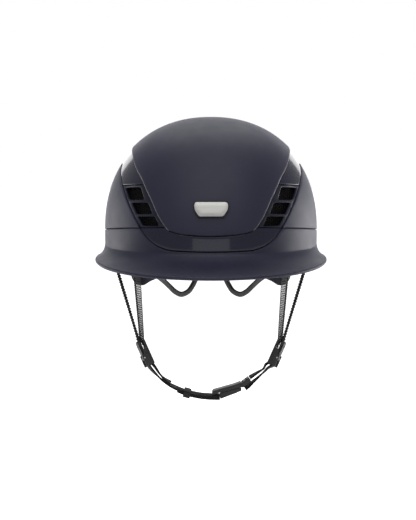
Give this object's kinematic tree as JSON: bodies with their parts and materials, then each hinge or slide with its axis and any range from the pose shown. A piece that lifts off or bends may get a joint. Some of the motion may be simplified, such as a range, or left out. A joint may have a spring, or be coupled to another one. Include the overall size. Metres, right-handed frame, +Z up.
{
  "type": "equestrian riding helmet",
  "caption": "Riding helmet with a flared peak, side vents, foam liner, dial-adjusted nape cradle and a chin harness with cam dividers and a magnetic buckle.",
  "frame": {"origin": "centre of the head opening, level with the liner's rim over the temples; the head sits round this point", "axes": "-Y is the front, where the peak is; +X is the wearer's left; +Z is up, towards the crown"},
  "size_m": [0.239, 0.3111, 0.2984],
  "materials": {
    "matte_shell": "soft-touch matt navy",
    "gloss_shell": "polished navy",
    "vent_plastic": "satin navy",
    "vent_mesh": "black honeycomb mesh",
    "badge_metal": "brushed, silver",
    "black_plastic": "fine-grained black",
    "grey_plastic": "satin dark grey",
    "liner_foam": "black bead foam",
    "lining": "fine dark lining cloth",
    "pad_fabric": "navy knit",
    "webbing": "black woven webbing",
    "rim_rubber": "black rubber",
    "steel": "nickel plated"
  },
  "bodies": {
    "helmet": {"crown_panel": "matte_shell", "upper_shell": "matte_shell", "lower_shell": "matte_shell", "brim_lining": "lining", "front_gloss_band": "gloss_shell", "rear_gloss_frame": "gloss_shell", "vent_insert_left": "vent_plastic", "vent_insert_right": "vent_plastic", "vent_mesh_left": "vent_mesh", "vent_mesh_right": "vent_mesh", "rear_vent_mesh": "vent_mesh", "front_badge": "badge_metal", "badge_bezel": "black_plastic", "impact_liner": "liner_foam", "rim_seal": "rim_rubber", "brow_pad": "pad_fabric", "temple_pad_left": "pad_fabric", "temple_pad_right": "pad_fabric", "nape_pad_left": "pad_fabric", "nape_pad_right": "pad_fabric", "crown_pad": "pad_fabric", "temple_pivot_left": "grey_plastic", "temple_pivot_right": "grey_plastic", "temple_bracket_left": "black_plastic", "temple_bracket_right": "black_plastic", "front_anchor_left": "black_plastic", "front_anchor_right": "black_plastic", "rear_anchor_left": "black_plastic", "rear_anchor_right": "black_plastic", "front_strap_left": "webbing", "front_strap_right": "webbing", "rear_strap_left": "webbing", "rear_strap_right": "webbing", "divider_body_left": "grey_plastic", "divider_body_right": "grey_plastic", "lever_pin_left": "steel", "lever_pin_right": "steel", "chin_strap_left": "webbing", "strap_adjuster": "grey_plastic", "buckle_catch": "grey_plastic", "catch_magnet": "steel"},
    "fit_arms": {"fit_arm_left": "black_plastic", "fit_arm_right": "black_plastic"},
    "cradle": {"cradle_frame": "grey_plastic", "dial_housing": "black_plastic"},
    "dial": {"dial_knob": "black_plastic", "dial_pinion": "grey_plastic"},
    "lever_left": {"divider_lever_left": "grey_plastic"},
    "lever_right": {"divider_lever_right": "grey_plastic"},
    "chin_strap": {"chin_strap_right": "webbing", "chin_tail_right": "webbing"},
    "keeper": {"strap_keeper": "rim_rubber"},
    "tongue": {"buckle_tongue": "grey_plastic", "tongue_magnet": "steel"}
  },
  "joints": [
    {"name": "fit_tilt", "type": "hinge", "parent": "helmet", "child": "fit_arms", "pos_m": [0, 0.001, 0.003], "axis": [1, 0, 0], "range_deg": [-4, 5]},
    {"name": "cradle_slide", "type": "slide", "parent": "fit_arms", "child": "cradle", "axis": [0, -1, 0], "range_m": [0, 0.008]},
    {"name": "dial_turn", "type": "hinge", "parent": "cradle", "child": "dial", "pos_m": [0, 0.1086, -0.012], "axis": [0, -1, 0], "range_deg": [0, 115]},
    {"name": "divider_lever_left_open", "type": "hinge", "parent": "helmet", "child": "lever_left", "pos_m": [0.07092, -0.00647, -0.10213], "axis": [0.1451, 0.9636, -0.2246], "range_deg": [0, 80]},
    {"name": "divider_lever_right_open", "type": "hinge", "parent": "helmet", "child": "lever_right", "pos_m": [-0.07092, -0.00647, -0.10213], "axis": [0.1451, -0.9636, 0.2246], "range_deg": [0, 80]},
    {"name": "chin_strap_swing", "type": "hinge", "parent": "helmet", "child": "chin_strap", "pos_m": [-0.065, -0.00681, -0.10738], "axis": [-0.1451, 0.9636, -0.2246], "range_deg": [0, 60]},
    {"name": "strap_keeper_slide", "type": "slide", "parent": "chin_strap", "child": "keeper", "axis": [0.9637, 0, -0.2669], "range_m": [-0.004, 0.004]},
    {"name": "buckle_release", "type": "slide", "parent": "chin_strap", "child": "tongue", "axis": [0, -1, 0], "range_m": [0, 0.012]}
  ],
  "couplings": [
    {"joint": "dial_turn", "follows": "cradle_slide", "rad_per_m": 250}
  ]
}
